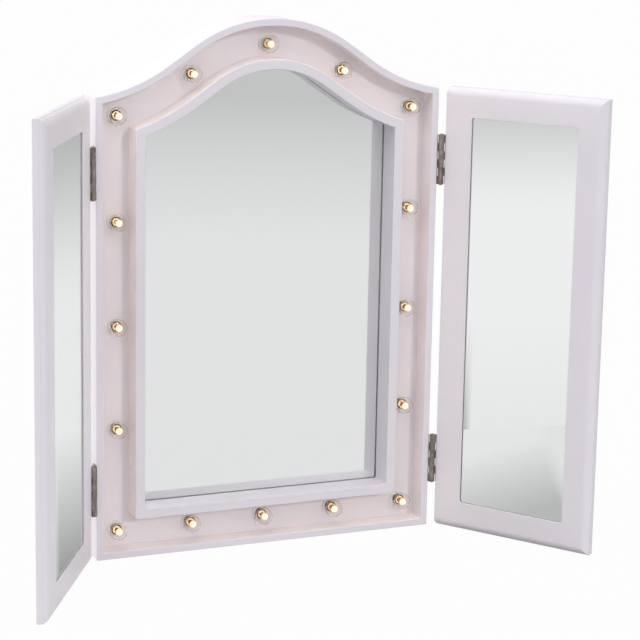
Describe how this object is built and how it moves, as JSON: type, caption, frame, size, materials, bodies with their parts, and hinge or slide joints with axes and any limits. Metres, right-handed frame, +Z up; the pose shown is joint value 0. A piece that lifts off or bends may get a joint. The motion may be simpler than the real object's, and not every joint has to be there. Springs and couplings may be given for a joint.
{
  "type": "trifold vanity mirror",
  "caption": "Free-standing three-panel dressing mirror: an arched, deep-framed centre mirror ringed by clear globe lamps, with two flat moulded side mirrors on butt hinges.",
  "frame": {"origin": "middle of the centre casing's flat underside, halfway through its depth, on the table", "axes": "+Z up along the casing, -Y out of the front of the centre mirror, +X to the viewer's right"},
  "size_m": [0.5848, 0.2066, 0.5342],
  "materials": {
    "white_paint": "satin white paint",
    "raw_wood": "planed, unpainted",
    "fibreboard": "plain board",
    "back_board": "white faced board",
    "mirror": "silvered glass",
    "zinc_steel": "zinc plated",
    "hinge_steel": "nickel plated",
    "white_plastic": "moulded",
    "black_plastic": "moulded",
    "warm_emitter": "lit, warm white",
    "clear_globe": "clear",
    "lead": "flexible",
    "cell": "plain sleeve"
  },
  "bodies": {
    "centre": {"centre_casing": "white_paint", "frame_battens": "raw_wood", "channel_board": "white_paint", "mirror_surround": "white_paint", "centre_mirror": "mirror", "centre_mirror_backing": "fibreboard", "mirror_clips": "zinc_steel", "back_panel": "back_board", "back_panel_screws": "zinc_steel", "lamp_sockets": "white_plastic", "lamp_emitters": "warm_emitter", "lamp_globes": "clear_globe", "wiring_loom": "lead", "battery_box": "white_plastic", "battery_contacts": "zinc_steel", "batteries": "cell", "switch_body": "black_plastic", "centre_hinge_leaves": "hinge_steel", "left_hinge_pins": "hinge_steel", "right_hinge_pins": "hinge_steel", "centre_hinge_screws": "hinge_steel"},
    "left_wing": {"left_hinge_leaves": "hinge_steel", "left_hinge_screws": "hinge_steel", "left_wing_frame": "white_paint", "left_wing_mirror": "mirror", "left_wing_backing": "fibreboard", "left_wing_back_panel": "back_board", "left_wing_screws": "zinc_steel"},
    "right_wing": {"right_hinge_leaves": "hinge_steel", "right_hinge_screws": "hinge_steel", "right_wing_frame": "white_paint", "right_wing_mirror": "mirror", "right_wing_backing": "fibreboard", "right_wing_back_panel": "back_board", "right_wing_screws": "zinc_steel"},
    "battery_cover": {"battery_cover": "white_plastic"},
    "switch_rocker": {"switch_rocker": "black_plastic"}
  },
  "joints": [
    {"name": "left_wing_hinge", "type": "hinge", "parent": "centre", "child": "left_wing", "pos_m": [-0.1849, -0.0243, 0], "axis": [0, 0, 1], "range_deg": [-60.5, 119.5]},
    {"name": "right_wing_hinge", "type": "hinge", "parent": "centre", "child": "right_wing", "pos_m": [0.1849, -0.0243, 0], "axis": [0, 0, -1], "range_deg": [-56.5, 123.5]},
    {"name": "battery_cover_slide", "type": "slide", "parent": "centre", "child": "battery_cover", "axis": [0, 0, -1], "range_m": [0, 0.0625]},
    {"name": "switch_rock", "type": "hinge", "parent": "centre", "child": "switch_rocker", "pos_m": [0.062, 0.0205, 0.15], "axis": [1, 0, 0], "range_deg": [-20, 0]}
  ]
}
